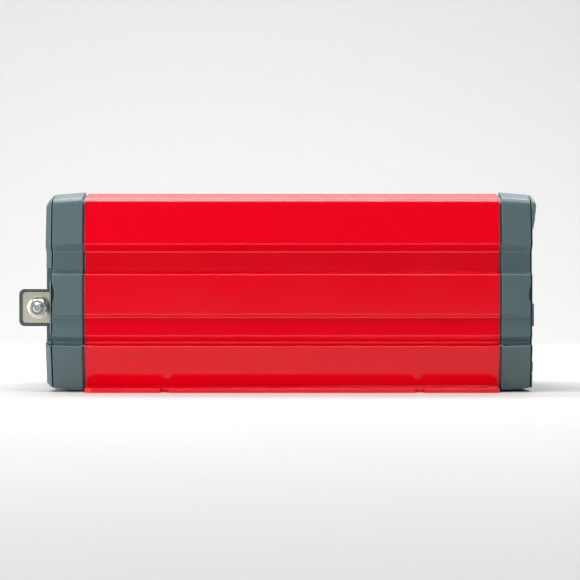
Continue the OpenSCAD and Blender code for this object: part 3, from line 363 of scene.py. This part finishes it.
# Transfer-moulded epoxy: a matt and slightly gritty black.
moulded_epoxy_black = finish("moulded_epoxy_black", "#222224", "#1A1A1C", "#48484A",
                             grain=0.4, relief=0.015, rough=(0.5, 0.62), edge=0.2, IOR=1.55)
dress(moulded_epoxy_black, "power_transistors")

# Tinted polycarbonate, moulded: a bright orange with a hard gloss.
tinted_polycarbonate = finish("tinted_polycarbonate", "#D9641A", "#C75812", "#F0935A",
                              grain=1.0, relief=0.004, rough=(0.14, 0.22), edge=0.3, IOR=1.58)
dress(tinted_polycarbonate, "blade_fuses")

# ---- Wires -----------------------------------------------------------------------------------
# Stranded copper in extruded PVC, from the main board to the outlets and to the two fans.

# PVC insulation in black: an even, waxy black.
pvc_insulation_black = finish("pvc_insulation_black", "#242424", "#1C1C1C", "#4C4C4C",
                              grain=0.8, relief=0.008, rough=(0.36, 0.46), edge=0.2, IOR=1.53)
dress(pvc_insulation_black, "outlet_wires")

# PVC insulation in red: the same waxy skin, which marks the fans' supply.
pvc_insulation_red = finish("pvc_insulation_red", "#A81A1A", "#951414", "#C85050",
                            grain=0.8, relief=0.008, rough=(0.36, 0.46), edge=0.2, IOR=1.53)
dress(pvc_insulation_red, "fan_leads")

# ---- Studio ----------------------------------------------------------------------------------
# A sweep of pale grey seamless paper under and behind the inverter, two strips of light
# overhead, a soft box at each front quarter and one over the backdrop. The side towards the
# camera stays dim, so that the red stays deep.
floor_front, wall_y, wall_top, half_width = -6.0, 2.2, 4.0, 6.0
sweep_r, sweep_steps = 0.8, 16
curve = [(floor_front, 0.0), (wall_y - sweep_r, 0.0)]
for step in range(1, sweep_steps + 1):
    angle = step * math.pi / (2 * sweep_steps)
    curve.append((wall_y - sweep_r + sweep_r * math.sin(angle), sweep_r - sweep_r * math.cos(angle)))
curve.append((wall_y, wall_top))
sweep = bmesh.new()
rows = [[sweep.verts.new((x, y, z)) for x in (-half_width, half_width)] for y, z in curve]
for a, b in zip(rows, rows[1:]):
    sweep.faces.new((a[0], a[1], b[1], b[0]))
sweep_mesh = bpy.data.meshes.new("paper_sweep")
sweep.to_mesh(sweep_mesh)
sweep.free()
for face in sweep_mesh.polygons:
    face.use_smooth = True
paper = bpy.data.objects.new("paper_sweep", sweep_mesh)
bpy.context.scene.collection.objects.link(paper)

# Uncoated paper off a roll: an even, dead matt grey.
seamless_paper = finish("seamless_paper", "#BFBFBF", "#BDBDBD", "#C1C1C1",
                        grain=8.0, relief=0.0, rough=(0.9, 0.95), edge=0.1, IOR=1.3)
paper.data.materials.append(seamless_paper)

world = bpy.data.worlds.new("studio")
bpy.context.scene.world = world
world.use_nodes = True
room = world.node_tree.nodes["Background"]
room.inputs["Color"].default_value = linear("#F4F6F8")
room.inputs["Strength"].default_value = 0.05

# Each light: its name, where it hangs and its size in metres, its power in watts, and its aim.
inverter, backdrop = (0.0, 0.0, 0.08), (0.0, 2.2, 0.6)
for name, spot, size, watts, aim in (
    ("overhead_strip", (-0.1, -0.45, 2.4), (3.6, 0.6), 82.0, inverter),
    ("rear_strip", (-0.1, 0.75, 1.45), (2.4, 0.4), 22.0, inverter),
    ("left_softbox", (-2.1, -1.1, 0.5), (1.2, 1.2), 44.0, inverter),
    ("right_softbox", (1.9, -1.6, 0.6), (1.2, 1.2), 4.0, inverter),
    ("backdrop_softbox", (0.0, 1.0, 2.4), (3.0, 0.8), 50.0, backdrop),
):
    lamp = bpy.data.lights.new(name, "AREA")
    lamp.shape = "RECTANGLE"
    lamp.size, lamp.size_y = size
    lamp.energy = watts
    box = bpy.data.objects.new(name, lamp)
    box.location = spot
    box.rotation_euler = (Vector(aim) - Vector(spot)).to_track_quat("-Z", "Y").to_euler()
    box.visible_camera = False
    bpy.context.scene.collection.objects.link(box)

camera = bpy.data.objects.new("camera", bpy.data.cameras.new("camera"))
camera.data.lens = 124.1
camera.data.sensor_width = 36.0
camera.data.clip_end = 30.0
camera.location = (-0.00175, -1.7, 0.082)
camera.rotation_euler = (math.pi / 2, 0.0, 0.0)
bpy.context.scene.collection.objects.link(camera)
bpy.context.scene.camera = camera
bpy.context.scene.view_settings.view_transform = "Standard"
